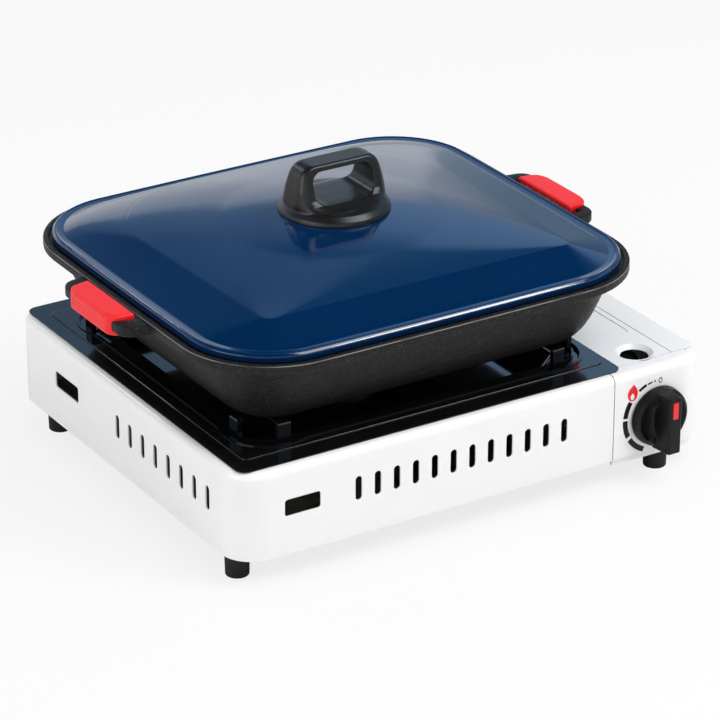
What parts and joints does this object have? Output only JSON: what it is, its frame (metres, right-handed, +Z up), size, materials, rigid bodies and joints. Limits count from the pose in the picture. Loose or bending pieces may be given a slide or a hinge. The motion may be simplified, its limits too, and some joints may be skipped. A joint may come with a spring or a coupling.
{
  "type": "butane cassette stove",
  "caption": "Portable cassette stove with a rounded white body, side gas bay, front control knob, black drip tray and a rectangular cast pan with a domed lid and soft side grips.",
  "frame": {"origin": "on the table under the middle of the whole object's box", "axes": "+X to the control and gas side, +Y to the back, +Z up"},
  "size_m": [0.4136, 0.347, 0.2239],
  "materials": {
    "white_sheet": "gloss white powder coat",
    "white_moulding": "gloss white",
    "galvanised": "plain zinc-plated sheet",
    "steel": "bright steel fastener",
    "black_enamel": "gloss black enamel",
    "pan_coating": "matte black speckled non-stick coating on a casting",
    "lid_enamel": "gloss navy blue enamel",
    "black_satin": "satin black phenolic",
    "knob_black": "satin black",
    "red_silicone": "matte red silicone",
    "red_mark": "gloss red",
    "rubber_black": "matte black rubber",
    "die_cast": "plain die casting",
    "burner_steel": "stainless steel",
    "brass": "turned brass",
    "can_paint": "plain lacquered tinplate",
    "ferrite": "sintered ferrite",
    "ceramic": "white glazed ceramic",
    "lead_red": "silicone insulated lead"
  },
  "bodies": {
    "stove": {"main_shell": "white_sheet", "control_panel": "white_moulding", "rear_panel": "white_moulding", "deck_plate": "white_sheet", "base_plate": "galvanised", "shell_screws": "steel", "panel_screws": "steel", "cradle_screws": "steel", "burner_screws": "steel", "bracket_rivets": "steel", "shield_rivets": "steel", "foot_screws": "steel", "foot_nuts": "steel", "burner_bracket": "galvanised", "burner_body": "die_cast", "burner_head": "brass", "burner_cap": "burner_steel", "mixing_tube": "galvanised", "heat_shield": "galvanised", "regulator_body": "die_cast", "diaphragm_cover": "galvanised", "regulator_screws": "steel", "cartridge_seat": "die_cast", "seat_magnet": "ferrite", "gas_nozzle": "brass", "igniter": "knob_black", "ignition_lead": "lead_red", "electrode": "ceramic", "electrode_bracket": "galvanised", "cartridge_cradle_front": "galvanised", "cartridge_cradle_rear": "galvanised", "foot_front_left": "rubber_black", "foot_rear_left": "rubber_black", "foot_front_right": "rubber_black", "foot_rear_right": "rubber_black"},
    "knob": {"control_knob": "knob_black", "knob_indicator": "red_mark", "knob_shaft": "steel"},
    "cover": {"cartridge_cover": "white_sheet", "cover_hinge_pins": "steel"},
    "cartridge": {"cartridge_can": "can_paint", "cartridge_valve": "steel"},
    "tray": {"drip_tray": "black_enamel", "support_rivets": "black_enamel", "pan_support_front_left": "black_enamel", "pan_support_rear_left": "black_enamel", "pan_support_front_right": "black_enamel", "pan_support_rear_right": "black_enamel"},
    "pan": {"grill_pan": "pan_coating", "grip_left": "red_silicone", "grip_right": "red_silicone"},
    "lid": {"pan_lid": "lid_enamel", "lid_handle": "black_satin", "lid_washer": "steel", "lid_screw": "steel"}
  },
  "joints": [
    {"name": "knob_turn", "type": "hinge", "parent": "stove", "child": "knob", "pos_m": [0.1613, -0.1505, 0.0475], "axis": [0, -1, 0], "range_deg": [0, 150]},
    {"name": "cover_hinge", "type": "hinge", "parent": "stove", "child": "cover", "pos_m": [0.2033, 0.0115, 0.024], "axis": [0, 1, 0], "range_deg": [0, 90]},
    {"name": "cartridge_slide", "type": "slide", "parent": "stove", "child": "cartridge", "axis": [0, 1, 0], "range_m": [0, 0.012]},
    {"name": "tray_lift", "type": "slide", "parent": "stove", "child": "tray", "axis": [0, 0, 1], "range_m": [0, 0.06]},
    {"name": "pan_lift", "type": "slide", "parent": "tray", "child": "pan", "axis": [0, 0, 1], "range_m": [0, 0.08]},
    {"name": "lid_lift", "type": "slide", "parent": "pan", "child": "lid", "axis": [0, 0, 1], "range_m": [0, 0.12]}
  ]
}
